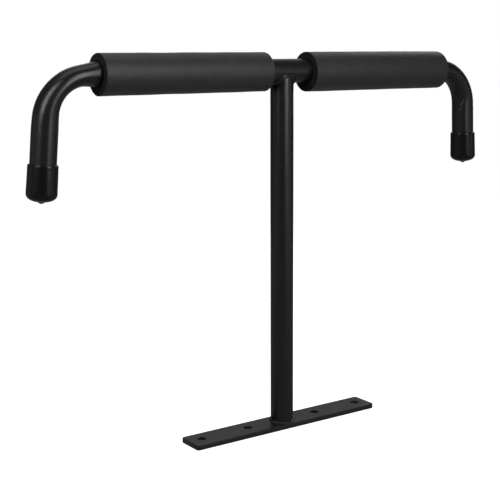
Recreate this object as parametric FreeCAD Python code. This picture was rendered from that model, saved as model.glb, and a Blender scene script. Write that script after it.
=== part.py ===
"""Single-post pull-up bar: a steel weldment with two foam grips and two vinyl end caps.

Millimetres.  +Z is up the post, +X runs along the crossbar.  The origin is the centre of the
mounting plate's outer face, the face that is screwed to the joist, wall stud or ceiling.
"""
import FreeCAD, Part
import math
import os

os.makedirs("parts", exist_ok=True)

Vec = FreeCAD.Vector
AXIS_X = Vec(1, 0, 0)
AXIS_Y = Vec(0, 1, 0)
AXIS_Z = Vec(0, 0, 1)

# ---- driving dimensions -------------------------------------------------------------------
TUBE_OD = 31.75             # 1 1/4 in round tube of the crossbar
POST_OD = 31.0              # a hair less, so that the post can be coped over the crossbar
TUBE_WALL = 2.0
BAR_HEIGHT = 484.7          # crossbar axis above the plate's outer face

PLATE_LENGTH = 300.0
PLATE_WIDTH = 41.0
PLATE_THICKNESS = 7.0
PLATE_CORNER_R = 4.5        # corners seen from above
PLATE_ARRIS_R = 1.2         # rolled edge of the flat bar
HOLE_D = 12.0               # clears an M10 or 3/8 in lag screw
INNER_HOLE_X = 57.0
OUTER_HOLE_X = 130.8

BEND_CLR = 52.5             # centreline radius
BEND_SPREAD = 0.45          # gain across the bend, as a share of the loss in its plane
BEND_SINK = 0.74            # share of that loss which the outside wall takes
BEND_LEAD = 22.0            # the flattening starts this far before the bend
BEND_RISE = 32.0            # and reaches its full depth over this length
BEND_TAIL = 17.0            # it ends this far after the bend
BEND_FALL = 66.0            # and fades over this length
BEND_SECTIONS = 25
ROUND_GAP = 1e-7            # keeps a round section's first axis from being the shorter one

# (side, corner distance from the post, splay in degrees, corner to the cap's lip,
#  share of the radius lost where the bend is flattest)
LEGS = {
    "left": (-1, 336.0, 4.6, 103.4, 0.20),
    "right": (1, 335.8, 2.0, 96.0, 0.12),
}

# (first end, last end, outside diameter, how far the outside hangs below the bar's axis)
GRIPS = {
    "left": (-271.4, -29.5, 51.2, 0.8),
    "right": (39.9, 280.5, 53.2, 1.7),
}

CAP_LIP_OD = 35.8
CAP_BASE_OD = 36.8
CAP_SIDE = 40.4             # lip to the level of the rounded bottom's end
CAP_SEAT = 38.0             # depth of the tube inside the cap
CAP_ROUND = 6.5
CAP_DOME = 3.6
CAP_LIP_R = 1.0
NUB_R = 4.0                 # drip left by dipping
NUB_H = 2.0

BASE_WELD_LEG = 2.0

TIP_CUT = 6.0               # the coped tips stop this far below the crossbar's axis
TIP_SOFTNESS = 6            # how sharply the bead's line turns at those tips
SADDLE_WELD_LEG = 3.0       # where the bead lies in the square corner under the bar
TIP_WELD_LEG = 2.4          # where it crosses the post's tips
TIP_WELD_RISE = 1.6
WELD_CROWN = 0.4
WELD_BITE = 0.9             # how far the bead's blank reaches into its neighbours before trimming
SADDLE_SECTIONS = 72

TUBE_R = TUBE_OD / 2
POST_R = POST_OD / 2


def save(shape, node):
    """Write one sub-part, after checking that it is sound."""
    solids = shape.Solids
    if not shape.isValid() or not solids:
        raise RuntimeError("unsound shape: " + node)
    shape.exportStep("parts/" + node + ".step")
    box = shape.BoundBox
    print("%-16s solids %d  volume %10.1f  x %8.2f %8.2f  y %7.2f %7.2f  z %7.2f %7.2f" % (
        node, len(solids), shape.Volume, box.XMin, box.XMax, box.YMin, box.YMax, box.ZMin, box.ZMax))


def smooth_step(value):
    value = min(max(value, 0.0), 1.0)
    return value * value * (3 - 2 * value)


# ---- plate ----------------------------------------------------------------------------------
def mounting_plate():
    blank = Part.makeBox(PLATE_LENGTH, PLATE_WIDTH, PLATE_THICKNESS,
                         Vec(-PLATE_LENGTH / 2, -PLATE_WIDTH / 2, 0))
    corners = [edge for edge in blank.Edges if edge.BoundBox.ZLength > PLATE_THICKNESS / 2]
    plate = blank.makeFillet(PLATE_CORNER_R, corners)
    rims = [edge for edge in plate.Edges if edge.BoundBox.ZLength < PLATE_THICKNESS / 2]
    plate = plate.makeFillet(PLATE_ARRIS_R, rims)
    for x in (-OUTER_HOLE_X, -INNER_HOLE_X, INNER_HOLE_X, OUTER_HOLE_X):
        plate = plate.cut(Part.makeCylinder(HOLE_D / 2, PLATE_THICKNESS + 2, Vec(x, 0, -1), AXIS_Z))
    return plate


# ---- crossbar -------------------------------------------------------------------------------
class Leg:
    """Centreline of one end of the crossbar: its bend and the straight run after it."""

    def __init__(self, side, corner, splay, lip, flatten):
        self.side = side
        self.turn = math.radians(90 - splay)
        self.tangent = BEND_CLR * math.tan(self.turn / 2)
        self.arc = BEND_CLR * self.turn
        self.start = side * (corner - self.tangent)
        self.centre = Vec(self.start, 0, BAR_HEIGHT - BEND_CLR)
        self.flatten = flatten
        self.end = self.arc + lip - self.tangent + CAP_SEAT

    def frame(self, run):
        """Point, outward normal and direction at a distance along the centreline."""
        on_arc = min(max(run, 0.0), self.arc)
        angle = on_arc / BEND_CLR
        normal = Vec(self.side * math.sin(angle), 0, math.cos(angle))
        along = Vec(self.side * math.cos(angle), 0, -math.sin(angle))
        point = self.centre + normal * BEND_CLR + along * (run - on_arc)
        return point, normal, along

    def flattening(self, run):
        rise = smooth_step((run + BEND_LEAD) / BEND_RISE)
        fall = smooth_step((self.arc + BEND_TAIL - run) / BEND_FALL)
        return self.flatten * rise * fall

    def section(self, run, inset):
        """Closed wire of the tube's section, drawn in by the wall for the bore."""
        share = self.flattening(run)
        point, normal, along = self.frame(run)
        loss = TUBE_R * share
        thin = TUBE_R - loss - inset
        wide = max(TUBE_R + loss * BEND_SPREAD - inset, thin + ROUND_GAP)
        centre = point - normal * (loss * (2 * BEND_SINK - 1))
        across = along.cross(normal)
        curve = Part.Ellipse(centre + across * wide, centre + normal * thin, centre)
        return Part.Wire([curve.toShape()])


def bar_body(inset):
    """Outside (inset 0) or bore (inset = wall) of the crossbar as one solid."""
    radius = TUBE_R - inset
    legs = [Leg(*LEGS["left"]), Leg(*LEGS["right"])]
    first = legs[0].start + BEND_LEAD
    last = legs[1].start - BEND_LEAD
    body = Part.makeCylinder(radius, last - first, Vec(first, 0, BAR_HEIGHT), AXIS_X)
    over = 1.0 if inset else 0.0
    for leg in legs:
        high = leg.arc + BEND_TAIL
        step = (high + BEND_LEAD) / (BEND_SECTIONS - 1)
        wires = [leg.section(step * index - BEND_LEAD, inset) for index in range(BEND_SECTIONS)]
        bend = Part.makeLoft(wires, True, False)
        point, _, along = leg.frame(high)
        straight = Part.makeCylinder(radius, leg.end - high + over, point, along)
        body = body.fuse([bend, straight])
    return body.removeSplitter()


def crossbar():
    tube = bar_body(0.0).cut(bar_body(TUBE_WALL))
    return tube.Solids[0]


# ---- post and welds -------------------------------------------------------------------------
def bar_blank():
    """Solid round bar on the crossbar's axis, near the post."""
    return Part.makeCylinder(TUBE_R, 2 * TUBE_OD, Vec(-TUBE_OD, 0, BAR_HEIGHT), AXIS_X)


def upright_post():
    """Round tube from the plate to the crossbar: its top is coped, and the two tips cut flat."""
    height = BAR_HEIGHT - TIP_CUT - PLATE_THICKNESS
    foot = Vec(0, 0, PLATE_THICKNESS)
    tube = Part.makeCylinder(POST_R, height, foot, AXIS_Z)
    tube = tube.cut(Part.makeCylinder(POST_R - TUBE_WALL, height, foot, AXIS_Z))
    return tube.cut(bar_blank()).Solids[0]


def base_weld():
    """Crowned bead round the post's foot."""
    root = Vec(POST_R, 0, PLATE_THICKNESS)
    on_post = root + AXIS_Z * BASE_WELD_LEG
    on_plate = root + AXIS_X * BASE_WELD_LEG
    middle = BASE_WELD_LEG / 2
    crown = root + (AXIS_X + AXIS_Z) * (middle + WELD_CROWN / math.sqrt(2))
    profile = Part.Wire([
        Part.LineSegment(root, on_plate).toShape(),
        Part.Arc(on_plate, crown, on_post).toShape(),
        Part.LineSegment(on_post, root).toShape(),
    ])
    return Part.Face(profile).revolve(Vec(0, 0, 0), AXIS_Z, 360)


def saddle_section(angle):
    """Outline across the bead at one place on the line where post and crossbar meet."""
    x = POST_R * math.cos(angle)
    y = POST_R * math.sin(angle)
    coped = math.sqrt(TUBE_R ** 2 - y ** 2)
    drop = (coped ** TIP_SOFTNESS + TIP_CUT ** TIP_SOFTNESS) ** (1 / TIP_SOFTNESS)
    root = Vec(x, y, BAR_HEIGHT - drop)
    post_out = Vec(math.cos(angle), math.sin(angle), 0)
    bar_out = Vec(0, y, -drop)
    gap = bar_out.Length - TUBE_R
    bar_out.normalize()
    line = post_out.cross(bar_out).normalize()
    down_post = line.cross(post_out).normalize()
    if down_post.z > 0:
        down_post = -down_post
    along_bar = line.cross(bar_out).normalize()
    if along_bar.dot(post_out) < 0:
        along_bar = -along_bar
    tip = abs(math.sin(angle)) ** 4
    leg = SADDLE_WELD_LEG * (1 - tip) + TIP_WELD_LEG * tip
    half_corner = (math.pi - post_out.getAngle(bar_out)) / 2
    rise = max(leg * math.cos(half_corner) + WELD_CROWN, TIP_WELD_RISE)
    crown = root + (post_out + bar_out).normalize() * rise
    on_post = root + down_post * leg - post_out * WELD_BITE
    on_bar = root + along_bar * leg - bar_out * (WELD_BITE + gap)
    heart = root - post_out * WELD_BITE - bar_out * (WELD_BITE + gap)
    return Part.makePolygon([on_post, crown, on_bar, heart, on_post])


def saddle_weld():
    """Bead round the coped joint: a crowned blank trimmed by the two tubes."""
    turn = 2 * math.pi / SADDLE_SECTIONS
    wires = [saddle_section(turn * (index + 0.5)) for index in range(SADDLE_SECTIONS)]
    blank = Part.makeLoft(wires, True, True, True)
    post = Part.makeCylinder(POST_R, BAR_HEIGHT - TIP_CUT, Vec(0, 0, 0), AXIS_Z)
    return blank.cut([bar_blank(), post])


# ---- grips and caps -------------------------------------------------------------------------
def grip(first, last, diameter, drop):
    """Thick foam sleeve that hugs the bar, its outside hanging slightly low."""
    start = Vec(first, 0, BAR_HEIGHT - drop)
    sleeve = Part.makeCylinder(diameter / 2, last - first, start, AXIS_X)
    return sleeve.cut(bar_body(0.0))


def cap_radius(half_chord, height):
    """Radius of the ball whose cap has this half width and height."""
    return (half_chord ** 2 + height ** 2) / (2 * height)


def cap_outline():
    """Half section of a cap: x is the radius, z the depth below its lip."""
    lip_r = CAP_LIP_OD / 2
    base_r = CAP_BASE_OD / 2
    lip_in = Vec(TUBE_R, 0, 0)
    lip_flat = Vec(lip_r - CAP_LIP_R, 0, 0)
    lip_mid = Vec(lip_r - CAP_LIP_R * 0.29, 0, CAP_LIP_R * 0.29)
    lip_out = Vec(lip_r, 0, CAP_LIP_R)
    side_end = Vec(base_r, 0, CAP_SIDE - CAP_ROUND)
    corner = Vec(base_r - CAP_ROUND * 0.14, 0, CAP_SIDE - CAP_ROUND * 0.34)
    dome_r = base_r - CAP_ROUND * 0.55
    dome_start = Vec(dome_r, 0, CAP_SIDE)
    dome_ball = cap_radius(dome_r, CAP_DOME)
    dome_top = CAP_SIDE + CAP_DOME
    dome_z = {x: dome_top - dome_ball + math.sqrt(dome_ball ** 2 - x ** 2) for x in (dome_r / 2, NUB_R)}
    dome_mid = Vec(dome_r / 2, 0, dome_z[dome_r / 2])
    nub_start = Vec(NUB_R, 0, dome_z[NUB_R])
    nub_top = dome_top + NUB_H
    nub_ball = cap_radius(NUB_R, nub_top - nub_start.z)
    nub_mid = Vec(NUB_R / 2, 0, nub_top - nub_ball + math.sqrt(nub_ball ** 2 - NUB_R ** 2 / 4))
    nub_tip = Vec(0, 0, nub_top)
    seat_mid = Vec(0, 0, CAP_SEAT)
    seat_out = Vec(TUBE_R, 0, CAP_SEAT)
    return Part.Wire([
        Part.LineSegment(lip_in, lip_flat).toShape(),
        Part.Arc(lip_flat, lip_mid, lip_out).toShape(),
        Part.LineSegment(lip_out, side_end).toShape(),
        Part.Arc(side_end, corner, dome_start).toShape(),
        Part.Arc(dome_start, dome_mid, nub_start).toShape(),
        Part.Arc(nub_start, nub_mid, nub_tip).toShape(),
        Part.LineSegment(nub_tip, seat_mid).toShape(),
        Part.LineSegment(seat_mid, seat_out).toShape(),
        Part.LineSegment(seat_out, lip_in).toShape(),
    ])


def end_cap(name):
    """Dipped vinyl cap pushed over the end of a leg."""
    leg = Leg(*LEGS[name])
    point, _, along = leg.frame(leg.end - CAP_SEAT)
    cap = Part.Face(cap_outline()).revolve(Vec(0, 0, 0), AXIS_Z, 360)
    cap.Placement = FreeCAD.Placement(point, FreeCAD.Rotation(AXIS_Z, along))
    return cap


save(mounting_plate(), "mounting_plate")
save(upright_post(), "upright_post")
save(crossbar(), "crossbar")
save(base_weld(), "base_weld")
save(saddle_weld(), "saddle_weld")
for name, ends in GRIPS.items():
    save(grip(*ends), name + "_grip")
for name in LEGS:
    save(end_cap(name), name + "_end_cap")
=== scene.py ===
import math
import bmesh
import bpy
from mathutils import Euler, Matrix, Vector, noise


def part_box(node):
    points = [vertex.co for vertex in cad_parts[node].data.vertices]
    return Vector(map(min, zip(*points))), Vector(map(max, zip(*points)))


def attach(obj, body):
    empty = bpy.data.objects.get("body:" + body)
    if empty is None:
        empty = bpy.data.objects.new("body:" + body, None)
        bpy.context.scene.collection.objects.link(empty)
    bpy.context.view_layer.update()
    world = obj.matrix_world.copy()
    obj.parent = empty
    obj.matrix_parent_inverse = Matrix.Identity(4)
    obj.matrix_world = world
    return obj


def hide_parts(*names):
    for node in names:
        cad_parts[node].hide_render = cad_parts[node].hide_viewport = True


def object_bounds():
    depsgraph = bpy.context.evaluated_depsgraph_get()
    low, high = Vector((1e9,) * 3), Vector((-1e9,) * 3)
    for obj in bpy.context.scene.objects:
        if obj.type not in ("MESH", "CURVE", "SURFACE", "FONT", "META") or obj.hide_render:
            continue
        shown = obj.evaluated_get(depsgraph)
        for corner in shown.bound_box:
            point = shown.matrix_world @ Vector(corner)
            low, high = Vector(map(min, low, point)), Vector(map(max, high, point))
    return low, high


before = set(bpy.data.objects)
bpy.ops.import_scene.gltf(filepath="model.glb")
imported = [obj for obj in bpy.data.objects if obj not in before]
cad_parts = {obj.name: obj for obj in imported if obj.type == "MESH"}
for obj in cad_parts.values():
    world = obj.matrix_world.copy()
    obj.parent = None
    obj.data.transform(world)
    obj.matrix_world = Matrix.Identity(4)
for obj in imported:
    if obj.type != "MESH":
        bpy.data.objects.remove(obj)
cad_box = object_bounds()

MM = 0.001
WHITE = (1, 1, 1, 1)

# ---- the object, as packed ------------------------------------------------------------------
TUBE_R = 15.875 * MM
POST_R = (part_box("upright_post")[1][1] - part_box("upright_post")[0][1]) / 2
PLATE_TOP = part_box("mounting_plate")[1][2]
BAR_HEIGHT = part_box("crossbar")[1][2] - TUBE_R
BEND_R = 52.5 * MM
RIGHT_BEND_X = 283.5 * MM       # centre of the right bend
RIGHT_BEND_Z = BAR_HEIGHT - BEND_R
SPLAY = {"left": (-1, 4.6), "right": (1, 2.0)}      # side, and degrees that the leg opens by

# ---- camera ---------------------------------------------------------------------------------
CAMERA_SPOT = Vector((-0.8777, -1.1805, 0.5117))
CAMERA_YAW = 34.99              # degrees, from +Y towards +X
CAMERA_DOWN = 7.71
CAMERA_ROLL = 0.20
SENSOR_MM = 36
LENS_MM = 79.58
SHIFT_Y = -0.1
CLIP_NEAR = 0.05
CLIP_FAR = 50


def camera():
    data = bpy.data.cameras.new("camera")
    data.sensor_width = SENSOR_MM
    data.lens = LENS_MM
    data.shift_y = SHIFT_Y
    data.clip_start = CLIP_NEAR
    data.clip_end = CLIP_FAR
    obj = bpy.data.objects.new("camera", data)
    obj.location = CAMERA_SPOT
    turn = [math.radians(angle) for angle in (90 - CAMERA_DOWN, CAMERA_ROLL, -CAMERA_YAW)]
    obj.rotation_euler = Euler(turn, "XYZ")
    bpy.context.scene.collection.objects.link(obj)
    bpy.context.scene.camera = obj


# ---- studio ---------------------------------------------------------------------------------
ALL_ROUND = 180                 # degrees: light that leaves a softbox in every direction
# name, place, what it points at, width, height, watts, spread in degrees
SOFTBOXES = (
    ("light_right", (0.22, -1.22, 0.94), (-0.34, 0.0, 0.50), 0.55, 1.2, 4.7, 120),
    ("light_left", (-1.15, -0.38, 1.08), (-0.1, 0.0, 0.45), 0.5, 1.1, 8.2, ALL_ROUND),
    ("light_top", (0.0, 0.25, 1.7), (0.0, 0.0, 0.3), 1.4, 0.7, 2.6, ALL_ROUND),
    ("light_back", (0.7, 1.6, 1.3), (0.0, 0.0, 0.3), 1.4, 1.0, 2.6, ALL_ROUND),
    ("light_rear", (1.3, 0.75, 0.9), (0.0, 0.0, 0.4), 0.5, 1.1, 4.0, ALL_ROUND),
    ("wall_left", (-1.75, 0.45, 0.3), (0.0, 0.0, 0.3), 2.0, 0.9, 1.0, ALL_ROUND),
    ("wall_right", (1.05, -1.5, 0.3), (0.0, 0.0, 0.3), 2.0, 0.9, 1.9, ALL_ROUND),
    ("floor_bounce", (0.0, 0.0, -0.0003), (0.0, 0.0, 1.0), 3.0, 3.0, 3.0, ALL_ROUND),
)
ROOM_LIGHT = 0.085              # what the object sees of the room
SWEEP_LIGHT = 1.0               # what the camera sees of it
FLOOR_SIZE = 40
FLOOR_GAP = 0.5 * MM
FLOOR_GREY = (0.86, 0.86, 0.86, 1)
FLOOR_GLOW = 0.93
FLOOR_ROUGH = 0.9
FLOOR_SPECULAR = 0.1


def softbox(name, place, target, width, height, watts, spread):
    data = bpy.data.lights.new(name, "AREA")
    data.shape = "RECTANGLE"
    data.size = width
    data.size_y = height
    data.energy = watts
    data.spread = math.radians(spread)
    obj = bpy.data.objects.new(name, data)
    obj.location = Vector(place)
    obj.rotation_euler = (Vector(target) - Vector(place)).to_track_quat("-Z", "Y").to_euler()
    obj.visible_camera = False
    bpy.context.scene.collection.objects.link(obj)


def room():
    """Dim walls all round for the object, and a white sweep behind it for the camera."""
    world = bpy.data.worlds.new("studio")
    bpy.context.scene.world = world
    world.use_nodes = True
    tree = world.node_tree
    tree.nodes.clear()
    out = tree.nodes.new("ShaderNodeOutputWorld")
    mix = tree.nodes.new("ShaderNodeMixShader")
    path = tree.nodes.new("ShaderNodeLightPath")
    tree.links.new(path.outputs["Is Camera Ray"], mix.inputs["Fac"])
    for socket, strength in ((mix.inputs[1], ROOM_LIGHT), (mix.inputs[2], SWEEP_LIGHT)):
        background = tree.nodes.new("ShaderNodeBackground")
        background.inputs["Color"].default_value = WHITE
        background.inputs["Strength"].default_value = strength
        tree.links.new(background.outputs[0], socket)
    tree.links.new(mix.outputs[0], out.inputs["Surface"])
    bpy.context.scene.view_settings.view_transform = "Standard"


def floor():
    """Plain pale floor. It lights nothing itself: the floor_bounce softbox does that."""
    bpy.ops.mesh.primitive_plane_add(size=FLOOR_SIZE, location=(0, 0, cad_box[0][2] - FLOOR_GAP))
    obj = bpy.context.object
    obj.name = "floor"
    mat = bpy.data.materials.new("floor")
    mat.use_nodes = True
    bsdf = mat.node_tree.nodes["Principled BSDF"]
    bsdf.inputs["Base Color"].default_value = FLOOR_GREY
    bsdf.inputs["Roughness"].default_value = FLOOR_ROUGH
    bsdf.inputs["Specular IOR Level"].default_value = FLOOR_SPECULAR
    bsdf.inputs["Emission Color"].default_value = WHITE
    bsdf.inputs["Emission Strength"].default_value = FLOOR_GLOW
    obj.data.materials.append(mat)
    obj.visible_diffuse = False
    obj.visible_glossy = False


# ---- shader tools ---------------------------------------------------------------------------
TONE_RANGE = (0.3, 0.7)         # the part of a noise that carries a colour from dark to light
GLOSS_RANGE = (0.25, 0.75)      # and the part that carries the roughness from low to high
COLOUR_ROUGH = 0.6              # how much of the colour noise is fine


class Shader:
    """A material with a Principled shader, and short ways to add what feeds it."""

    def __init__(self, name):
        self.mat = bpy.data.materials.new(name)
        self.mat.use_nodes = True
        self.tree = self.mat.node_tree
        self.bsdf = self.tree.nodes["Principled BSDF"]
        self.coords = self.add("ShaderNodeTexCoord").outputs["Object"]
        self.normal = None

    def add(self, kind, **settings):
        node = self.tree.nodes.new(kind)
        for key, value in settings.items():
            setattr(node, key, value)
        return node

    def link(self, source, target):
        self.tree.links.new(source, target)

    def noise(self, scale, detail, rough):
        node = self.add("ShaderNodeTexNoise")
        self.link(self.coords, node.inputs["Vector"])
        node.inputs["Scale"].default_value = scale
        node.inputs["Detail"].default_value = detail
        node.inputs["Roughness"].default_value = rough
        return node.outputs["Fac"]

    def cells(self, scale):
        node = self.add("ShaderNodeTexVoronoi")
        self.link(self.coords, node.inputs["Vector"])
        node.inputs["Scale"].default_value = scale
        return node.outputs["Distance"]

    def span(self, value, source, target):
        """value, carried from the source range to the target range and held at its ends."""
        node = self.add("ShaderNodeMapRange")
        self.link(value, node.inputs["Value"])
        names = ("From Min", "From Max", "To Min", "To Max")
        for key, number in zip(names, (*source, *target)):
            node.inputs[key].default_value = number
        return node.outputs["Result"]

    def math(self, kind, *values):
        node = self.add("ShaderNodeMath", operation=kind)
        for socket, value in zip(node.inputs, values):
            if isinstance(value, (int, float)):
                socket.default_value = value
            else:
                self.link(value, socket)
        return node.outputs["Value"]

    def tone(self, scale, detail, dark, light):
        """Base colour that wanders from dark to light."""
        share = self.span(self.noise(scale, detail, COLOUR_ROUGH), TONE_RANGE, (0, 1))
        node = self.add("ShaderNodeMix", data_type="RGBA")
        self.link(share, node.inputs["Factor"])
        colours = [socket for socket in node.inputs if socket.type == "RGBA"]
        colours[0].default_value = (*dark, 1)
        colours[1].default_value = (*light, 1)
        result = [socket for socket in node.outputs if socket.type == "RGBA"][0]
        self.link(result, self.bsdf.inputs["Base Color"])

    def gloss(self, scale, detail, rough, low, high):
        """Roughness that wanders from low to high."""
        share = self.span(self.noise(scale, detail, rough), GLOSS_RANGE, (low, high))
        self.link(share, self.bsdf.inputs["Roughness"])

    def bump(self, height, depth):
        node = self.add("ShaderNodeBump")
        node.inputs["Strength"].default_value = 1.0
        node.inputs["Distance"].default_value = depth
        self.link(height, node.inputs["Height"])
        if self.normal:
            self.link(self.normal, node.inputs["Normal"])
        self.normal = node.outputs["Normal"]
        self.link(self.normal, self.bsdf.inputs["Normal"])

    def set(self, **values):
        for key, value in values.items():
            self.bsdf.inputs[key.replace("_", " ")].default_value = value


# ---- powder coat ----------------------------------------------------------------------------
COAT_DARK = (0.0055, 0.0055, 0.0057)
COAT_LIGHT = (0.0075, 0.0075, 0.0078)
PLATE_DARK = (0.008, 0.008, 0.0082)
PLATE_LIGHT = (0.012, 0.012, 0.0123)
TUBE_ROUGH = (0.26, 0.33)
PLATE_ROUGH = (0.30, 0.40)
WELD_ROUGH = (0.22, 0.30)

CREASE_R = 46.5 * MM            # furthest that their middle line runs from the bend's centre
CREASE_MID = 0.6                # radians round the bend's centre, up from level, where they do
CREASE_SWEEP = 12.5 * MM        # how much they close in, for a radian squared away from there
CREASE_PITCH = 3.4 * MM
CREASE_DEPTH = 0.26 * MM
CREASE_FADE = (2 * MM, 4.5 * MM)        # how far to each side of their middle line they fade
CREASE_FOOT = (-0.35, 0.0)              # radians over which they fade in above the leg
CREASE_HEAD = (1.2, 1.5)                # and out under the grip
CREASE_SIDE = (0.0, 10 * MM)            # they fade in outwards of the bend's centre


def powder_coat(name, dark, light, roughness, peel, grain):
    """Satin black powder coat: soft orange peel, fine grain and a little uneven gloss."""
    shader = Shader(name)
    low, high = roughness
    shader.tone(scale=38, detail=4, dark=dark, light=light)
    shader.gloss(scale=95, detail=5, rough=0.65, low=low, high=high)
    shader.bump(shader.noise(scale=420, detail=2, rough=0.4), depth=peel)
    shader.bump(shader.noise(scale=2600, detail=2, rough=0.5), depth=grain)
    shader.set(IOR=1.5)
    return shader


def tube_coat(name):
    return powder_coat(name, COAT_DARK, COAT_LIGHT, TUBE_ROUGH, peel=0.007 * MM, grain=0.002 * MM)


def plate_coat():
    """The hot-rolled plate keeps some of its texture under the coat, and looks duller."""
    name = "plate_powder_coat"
    return powder_coat(name, PLATE_DARK, PLATE_LIGHT, PLATE_ROUGH, peel=0.04 * MM, grain=0.012 * MM)


def weld_coat():
    name = "weld_powder_coat"
    return powder_coat(name, COAT_DARK, COAT_LIGHT, WELD_ROUGH, peel=0.01 * MM, grain=0.003 * MM)


def bar_coat():
    """The tube's coat, with faint creases inside the right bend, where the die pressed it."""
    shader = tube_coat("bar_powder_coat")
    split = shader.add("ShaderNodeSeparateXYZ")
    shader.link(shader.coords, split.inputs["Vector"])
    side = shader.math("SUBTRACT", split.outputs["X"], RIGHT_BEND_X)
    rise = shader.math("SUBTRACT", split.outputs["Z"], RIGHT_BEND_Z)
    square = shader.math("ADD", shader.math("POWER", side, 2), shader.math("POWER", rise, 2))
    turn = shader.math("ARCTAN2", rise, side)
    away = shader.math("SUBTRACT", turn, CREASE_MID)
    sweep = shader.math("MULTIPLY", shader.math("MULTIPLY", away, away), CREASE_SWEEP)
    offset = shader.math("SUBTRACT", shader.math("SQRT", square), CREASE_R)
    offset = shader.math("ADD", offset, sweep)
    height = shader.math("SINE", shader.math("MULTIPLY", offset, 2 * math.pi / CREASE_PITCH))
    for share in (
        shader.span(turn, CREASE_FOOT, (0, 1)),
        shader.span(turn, CREASE_HEAD, (1, 0)),
        shader.span(shader.math("ABSOLUTE", offset), CREASE_FADE, (1, 0)),
        shader.span(side, CREASE_SIDE, (0, 1)),
    ):
        height = shader.math("MULTIPLY", height, share)
    shader.bump(height, CREASE_DEPTH)
    return shader


# ---- foam and vinyl -------------------------------------------------------------------------
def foam_skin():
    """Moulded foam: a dull skin over fine cells, a little uneven."""
    shader = Shader("foam_skin")
    shader.tone(scale=55, detail=5, dark=(0.018, 0.018, 0.0184), light=(0.025, 0.025, 0.0255))
    shader.gloss(scale=160, detail=4, rough=0.6, low=0.46, high=0.56)
    shader.bump(shader.noise(scale=110, detail=3, rough=0.5), depth=0.25 * MM)
    shader.bump(shader.cells(scale=1500), depth=0.06 * MM)
    shader.bump(shader.noise(scale=3200, detail=2, rough=0.6), depth=0.03 * MM)
    shader.set(IOR=1.45, Sheen_Weight=0.06, Sheen_Roughness=0.5)
    return shader


def foam_cut():
    """The sawn end of the foam: open cells, darker and duller than the moulded skin."""
    shader = Shader("foam_cut_face")
    shader.tone(scale=240, detail=4, dark=(0.0075, 0.0075, 0.0076), light=(0.0125, 0.0125, 0.0127))
    shader.gloss(scale=300, detail=4, rough=0.6, low=0.7, high=0.85)
    shader.bump(shader.cells(scale=900), depth=0.2 * MM)
    shader.bump(shader.noise(scale=2600, detail=2, rough=0.6), depth=0.05 * MM)
    shader.set(IOR=1.45, Specular_IOR_Level=0.25)
    return shader


def vinyl():
    """Dipped vinyl: glossy, with slow waves from the dip."""
    shader = Shader("dipped_vinyl")
    shader.tone(scale=40, detail=4, dark=(0.0036, 0.0036, 0.0037), light=(0.005, 0.005, 0.0051))
    shader.gloss(scale=120, detail=5, rough=0.65, low=0.20, high=0.26)
    shader.bump(shader.noise(scale=45, detail=2, rough=0.4), depth=0.04 * MM)
    shader.bump(shader.noise(scale=1900, detail=2, rough=0.5), depth=0.003 * MM)
    shader.set(IOR=1.5, Specular_IOR_Level=0.34)
    return shader


def wear(node, shader):
    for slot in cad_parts[node].material_slots:
        slot.material = shader.mat


# ---- mesh tools -----------------------------------------------------------------------------
WOBBLE_STEP = Vector((17.3, -9.1, 4.7))     # how far apart two seeds read the noise


def skin(name, rings, mat, wrap=False, tip=None):
    """Mesh over closed rings of points. wrap joins the last ring to the first; tip closes it."""
    mesh = bpy.data.meshes.new(name)
    body = bmesh.new()
    rows = [[body.verts.new(point) for point in ring] for ring in rings]
    count = len(rows[0])
    pairs = list(zip(rows, rows[1:]))
    if wrap:
        pairs.append((rows[-1], rows[0]))
    for first, second in pairs:
        for index in range(count):
            after = (index + 1) % count
            body.faces.new((first[index], first[after], second[after], second[index]))
    if tip is not None:
        last = rows[-1]
        top = body.verts.new(tip)
        for index in range(count):
            body.faces.new((last[index], last[(index + 1) % count], top))
    bmesh.ops.recalc_face_normals(body, faces=body.faces)
    for face in body.faces:
        face.smooth = True
    body.to_mesh(mesh)
    body.free()
    mesh.materials.append(mat)
    obj = bpy.data.objects.new(name, mesh)
    bpy.context.scene.collection.objects.link(obj)
    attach(obj, "root")
    return obj


def wobble(x, y, z, seed):
    return noise.noise(Vector((x, y, z)) + seed * WOBBLE_STEP)


def around(steps):
    """Angles at equal steps round a circle."""
    return [2 * math.pi * step / steps for step in range(steps)]


def quarter(steps, first=1):
    """Angles over a quarter circle, from the given step to the last."""
    return [math.pi / 2 * step / steps for step in range(first, steps + 1)]


# ---- foam grips -----------------------------------------------------------------------------
GRIP_AROUND = 128
GRIP_ALONG = 96
RIM_R = 0.5 * MM                # where the skin turns into the end face
RIM_STEPS = 6
FACE_STEPS = 8
MOUTH_R = 0.7 * MM              # where the end face turns into the bore
MOUTH_STEPS = 3
MOUTH_DEPTH = 4 * MM
GRIP_BORE_R = TUBE_R + 0.03 * MM
# height of an unevenness, then how closely its lumps sit along the grip's axis and around it
SWELL, SWELL_ALONG, SWELL_AROUND = 0.30 * MM, 22, 1.4
FINE, FINE_ALONG, FINE_AROUND = 0.10 * MM, 90, 5
END_LENGTH = 6 * MM             # the end's unevenness reaches this far along the grip
# how far the sawn end is off square, then how closely its lumps sit around it and across it
PUSH, PUSH_AROUND, PUSH_ACROSS = 0.35 * MM, 1.8, 60
END_DISH = 0.25 * MM            # how far its middle sinks
CUT_LENGTH = 1.5 * MM           # faces this near the end and inside CUT_RIM are the sawn end
CUT_RIM = 0.4 * MM


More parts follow.
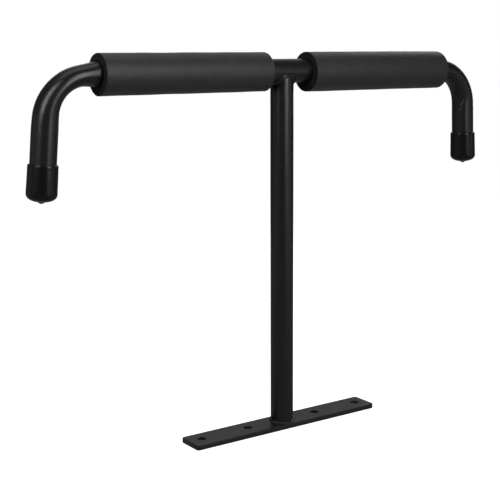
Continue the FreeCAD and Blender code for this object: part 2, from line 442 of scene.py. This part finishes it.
def grip_profile(half, outer):
    """Closed outline of a sleeve: (place along it, radius, kind), kind 1 outside to 0 at the bore."""
    points = []
    straight = 2 * half - 2 * RIM_R
    for index in range(GRIP_ALONG + 1):
        points.append((-half + RIM_R + straight * index / GRIP_ALONG, outer, 1.0))
    end = []
    for angle in quarter(RIM_STEPS):
        end.append((half - RIM_R + RIM_R * math.sin(angle), outer - RIM_R + RIM_R * math.cos(angle), 1.0))
    top = outer - RIM_R
    bottom = GRIP_BORE_R + MOUTH_R
    for index in range(1, FACE_STEPS + 1):
        share = index / FACE_STEPS
        end.append((half, top + (bottom - top) * share, 1 - share))
    for angle in quarter(MOUTH_STEPS):
        end.append((half - MOUTH_R + MOUTH_R * math.cos(angle), bottom - MOUTH_R * math.sin(angle), 0.0))
    end.append((half - MOUTH_DEPTH, GRIP_BORE_R, 0.0))
    end.append((half / 2, GRIP_BORE_R, 0.0))
    points += end
    points += [(-place, radius, kind) for place, radius, kind in reversed(end)]
    return points


def grip_point(place, radius, kind, angle, half, seed):
    """Where a point of the sleeve is along it and from its axis, once the foam's unevenness is in."""
    y = math.cos(angle)
    z = math.sin(angle)
    if kind == 0:
        return place, radius
    swell = SWELL * kind * wobble(place * SWELL_ALONG, y * SWELL_AROUND, z * SWELL_AROUND, seed)
    swell += FINE * kind * wobble(place * FINE_ALONG, y * FINE_AROUND, z * FINE_AROUND, seed + 3)
    edge = max(0.0, abs(place) - (half - END_LENGTH)) / END_LENGTH
    push = PUSH * edge * wobble(y * PUSH_AROUND, z * PUSH_AROUND, radius * PUSH_ACROSS, seed + 7)
    push -= END_DISH * edge * 4 * kind * (1 - kind)
    side = 1 if place > 0 else -1
    return place + side * push, radius + swell


def foam_grip(node, skin_shader, cut_shader, seed):
    low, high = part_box(node)
    outer = (high[1] - low[1]) / 2
    half = (high[0] - low[0]) / 2
    middle = (high[0] + low[0]) / 2
    drop = BAR_HEIGHT - (high[2] + low[2]) / 2
    rings = []
    for place, radius, kind in grip_profile(half, outer):
        ring = []
        for angle in around(GRIP_AROUND):
            along, reach = grip_point(place, radius, kind, angle, half, seed)
            height = BAR_HEIGHT - drop * kind + reach * math.sin(angle)
            ring.append(Vector((middle + along, reach * math.cos(angle), height)))
        rings.append(ring)
    grip = skin(node.replace("grip", "foam_grip"), rings, skin_shader.mat, wrap=True)
    grip.data.materials.append(cut_shader.mat)
    for face in grip.data.polygons:
        along = abs(face.center.x - middle)
        reach = Vector((face.center.y, face.center.z - BAR_HEIGHT + drop)).length
        if along > half - CUT_LENGTH and reach < outer - CUT_RIM:
            face.material_index = 1
    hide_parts(node)


# ---- weld beads -----------------------------------------------------------------------------
BEAD_STEPS = 12                 # steps over the crown of a bead
RIPPLE_STEPS = 12               # stations along one ripple
RIPPLE_LEAD = 0.55              # how far a ripple's middle runs ahead of its ends, in ripples
RIPPLE_JITTER = 0.25            # how uneven their spacing is, in ripples
JITTER_LUMPS = 3                # how often that changes round the bead
SECOND_WAVE = 0.4               # height and phase of the wave that makes them steeper on one side
SECOND_PHASE = 0.7
TOE_CALM = 0.6                  # share of its height that a ripple loses at the toes
FATNESS = 0.12                  # how much the bead's size varies, as a share
FATNESS_LUMPS = 2.2             # and how often
WELD_BITE = 0.7 * MM            # how deep the heart of the bead lies in the steel
TOE_SINK = 0.15 * MM            # and its toes
BASE_LEG = 2.1 * MM
BASE_CROWN = 1.25 * MM
TIP_CUT = 6 * MM                # the post's coped tips are cut flat this far under the bar's axis
TIP_SOFTNESS = 6
SADDLE_LEG = 3.0 * MM
TIP_LEG = 2.4 * MM
TIP_POWER = 4                   # how late the leg shortens towards the tips
CROWN_LIFT = 0.3 * MM
CROWN_LEAST = 1.5 * MM


def round_noise(angle, size, seed):
    """Noise that meets itself after a full turn."""
    return noise.noise(Vector((math.cos(angle) * size, math.sin(angle) * size, seed)))


def ripple(angle, across, count, seed):
    """Height of the ripples, about -1 to 1, at an angle round the bead and a place across it."""
    phase = angle / (2 * math.pi) * count + RIPPLE_LEAD * (1 - across ** 2)
    phase += RIPPLE_JITTER * round_noise(angle, JITTER_LUMPS, seed)
    lift = math.sin(2 * math.pi * phase) + SECOND_WAVE * math.sin(4 * math.pi * phase + SECOND_PHASE)
    return lift * (1 - TOE_CALM * abs(across) ** 3)


def bead(node, section, count, height, shader, seed):
    """Weld bead along the line that section(angle) describes: toe, crown, toe and heart of it."""
    rings = []
    for angle in around(count * RIPPLE_STEPS):
        first, crown, last, heart = section(angle)
        chord = (first + last) / 2
        out = crown - chord
        fat = 1 + FATNESS * round_noise(angle, FATNESS_LUMPS, seed + 5)
        ring = []
        for step in range(BEAD_STEPS + 1):
            share = step / BEAD_STEPS
            across = 2 * share - 1
            point = first.lerp(last, share) + out * (1 - across ** 2)
            point = chord + (point - chord) * fat
            point += out.normalized() * height * ripple(angle, across, count, seed)
            ring.append(point)
        ring.append(heart)
        rings.append(ring)
    piece = skin(node.replace("weld", "weld_bead"), rings, shader.mat, wrap=True)
    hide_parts(node)


def base_section(angle):
    """The fillet between the post's foot and the plate."""
    out = Vector((math.cos(angle), math.sin(angle), 0))
    up = Vector((0, 0, 1))
    root = up * PLATE_TOP + out * POST_R
    on_post = root - out * TOE_SINK + up * BASE_LEG
    crown = root + (out + up) * BASE_CROWN
    on_plate = root + out * BASE_LEG - up * TOE_SINK
    heart = root - (out + up) * WELD_BITE
    return on_post, crown, on_plate, heart


def saddle_section(angle):
    """The fillet round the post's coped top, from the sides of the crossbar to its underside."""
    x = POST_R * math.cos(angle)
    y = POST_R * math.sin(angle)
    coped = math.sqrt(TUBE_R ** 2 - y ** 2)
    powers = (coped / MM) ** TIP_SOFTNESS + (TIP_CUT / MM) ** TIP_SOFTNESS
    drop = powers ** (1 / TIP_SOFTNESS) * MM
    root = Vector((x, y, BAR_HEIGHT - drop))
    post_out = Vector((math.cos(angle), math.sin(angle), 0))
    bar_out = Vector((0, y, -drop))
    gap = bar_out.length - TUBE_R
    bar_out.normalize()
    line = post_out.cross(bar_out).normalized()
    down_post = line.cross(post_out).normalized()
    if down_post.z > 0:
        down_post = -down_post
    along_bar = line.cross(bar_out).normalized()
    if along_bar.dot(post_out) < 0:
        along_bar = -along_bar
    tip = abs(math.sin(angle)) ** TIP_POWER
    leg = SADDLE_LEG * (1 - tip) + TIP_LEG * tip
    half_corner = (math.pi - post_out.angle(bar_out)) / 2
    rise = max(leg * math.cos(half_corner) + CROWN_LIFT, CROWN_LEAST)
    on_post = root + down_post * leg - post_out * TOE_SINK
    crown = root + (post_out + bar_out).normalized() * rise
    on_bar = root + along_bar * leg - bar_out * (TOE_SINK + gap)
    heart = root - post_out * WELD_BITE - bar_out * (WELD_BITE + gap)
    return on_post, crown, on_bar, heart


# ---- end caps -------------------------------------------------------------------------------
CAP_AROUND = 96
CAP_BORE_R = TUBE_R + 0.04 * MM
CAP_BORE_DEPTH = 5 * MM
CAP_LIP_R = 17.9 * MM
CAP_LIP_ROUND = 1.3 * MM
CAP_LIP_STEPS = 6
CAP_MOUTH_ROUND = 0.5 * MM
CAP_MOUTH_STEPS = 4
CAP_BASE_R = 18.4 * MM
CAP_SIDE = 40.4 * MM
CAP_SIDE_STEPS = 24
CAP_SIDE_POWER = 0.8            # under 1, the side widens sooner
CAP_BEAD = 0.12 * MM            # the thicker bead below the lip: its height, place and width
CAP_BEAD_AT = 0.03
CAP_BEAD_WIDTH = 0.05
CAP_ROUND = 6.5 * MM
CAP_DOME = 3.6 * MM
CAP_BOTTOM_STEPS = 37
BOTTOM_POWER = 2.3              # 2 would be an ellipse, more is squarer
NUB_R = 3.4 * MM
NUB_H = 2.0 * MM
NUB_POWER = 2.6
# how uneven the dipped wall is, then how closely its lumps sit around it and along it
CAP_SWELL, CAP_AROUND_LUMPS, CAP_ALONG_LUMPS = 0.10 * MM, 1.5, 55
CAP_CALM_R = 6 * MM             # the unevenness dies out inside this radius
LIP_SAG = 0.05 * MM
BORE_ROWS = 2 + CAP_MOUTH_STEPS                 # rings of the profile that lie inside the cap
LIP_ROWS = BORE_ROWS + CAP_LIP_STEPS + 2        # rings down to the foot of the lip


def cap_profile():
    """Radius and depth below the lip, from the mouth over the lip and the side to the nub."""
    points = [(CAP_BORE_R, CAP_BORE_DEPTH), (CAP_BORE_R, CAP_MOUTH_ROUND)]
    for angle in quarter(CAP_MOUTH_STEPS):
        radius = CAP_BORE_R + CAP_MOUTH_ROUND * (1 - math.cos(angle))
        points.append((radius, CAP_MOUTH_ROUND * (1 - math.sin(angle))))
    for angle in quarter(CAP_LIP_STEPS, first=0):
        radius = CAP_LIP_R - CAP_LIP_ROUND * (1 - math.sin(angle))
        points.append((radius, CAP_LIP_ROUND * (1 - math.cos(angle))))
    straight = CAP_SIDE - CAP_ROUND - CAP_LIP_ROUND
    for step in range(1, CAP_SIDE_STEPS + 1):
        share = step / CAP_SIDE_STEPS
        bulge = CAP_BEAD * math.exp(-((share - CAP_BEAD_AT) / CAP_BEAD_WIDTH) ** 2)
        radius = CAP_LIP_R + (CAP_BASE_R - CAP_LIP_R) * share ** CAP_SIDE_POWER + bulge
        points.append((radius, CAP_LIP_ROUND + straight * share))
    start = CAP_SIDE - CAP_ROUND
    fall = CAP_ROUND + CAP_DOME
    for turn in quarter(CAP_BOTTOM_STEPS)[:-1]:
        radius = CAP_BASE_R * math.cos(turn) ** (2 / BOTTOM_POWER)
        depth = start + fall * math.sin(turn) ** (2 / BOTTOM_POWER)
        depth += NUB_H * math.exp(-(radius / NUB_R) ** NUB_POWER)
        points.append((radius, depth))
    return points, start + fall + NUB_H


def end_cap(name, shader, seed):
    node = name + "_end_cap"
    low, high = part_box(node)
    side, splay = SPLAY[name]
    tilt = math.radians(splay)
    inner = min(abs(low[0]), abs(high[0]))
    lip_x = side * (inner + CAP_LIP_R * math.cos(tilt))
    lip = Vector((lip_x, 0, high[2] - CAP_LIP_R * math.sin(tilt)))
    down = Vector((side * math.sin(tilt), 0, -math.cos(tilt)))
    across = Vector((math.cos(tilt), 0, side * math.sin(tilt)))
    back = Vector((0, 1, 0))
    profile, tip = cap_profile()
    rings = []
    for index, (radius, depth) in enumerate(profile):
        ring = []
        for angle in around(CAP_AROUND):
            x = math.cos(angle)
            y = math.sin(angle)
            swell = 0.0
            sag = 0.0
            if index >= BORE_ROWS:
                place = (x * CAP_AROUND_LUMPS, y * CAP_AROUND_LUMPS, depth * CAP_ALONG_LUMPS)
                swell = CAP_SWELL * wobble(*place, seed) * min(1.0, radius / CAP_CALM_R)
            if index < LIP_ROWS:
                sag = LIP_SAG * wobble(x, y, 0.0, seed + 2)
            out = across * x + back * y
            ring.append(lip + down * (depth + sag) + out * (radius + swell))
        rings.append(ring)
    piece = skin(name + "_vinyl_cap", rings, shader.mat, tip=lip + down * tip)
    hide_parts(node)


# ---- build ----------------------------------------------------------------------------------
camera()
floor()
for light in SOFTBOXES:
    softbox(*light)
room()

wear("upright_post", tube_coat("tube_powder_coat"))
wear("crossbar", bar_coat())
wear("mounting_plate", plate_coat())

skin_shader = foam_skin()
cut_shader = foam_cut()
foam_grip("left_grip", skin_shader, cut_shader, seed=1)
foam_grip("right_grip", skin_shader, cut_shader, seed=2)

bead_shader = weld_coat()
bead("base_weld", base_section, count=42, height=0.16 * MM, shader=bead_shader, seed=1.3)
bead("saddle_weld", saddle_section, count=46, height=0.18 * MM, shader=bead_shader, seed=8.1)

cap_shader = vinyl()
end_cap("left", cap_shader, seed=1)
end_cap("right", cap_shader, seed=4)
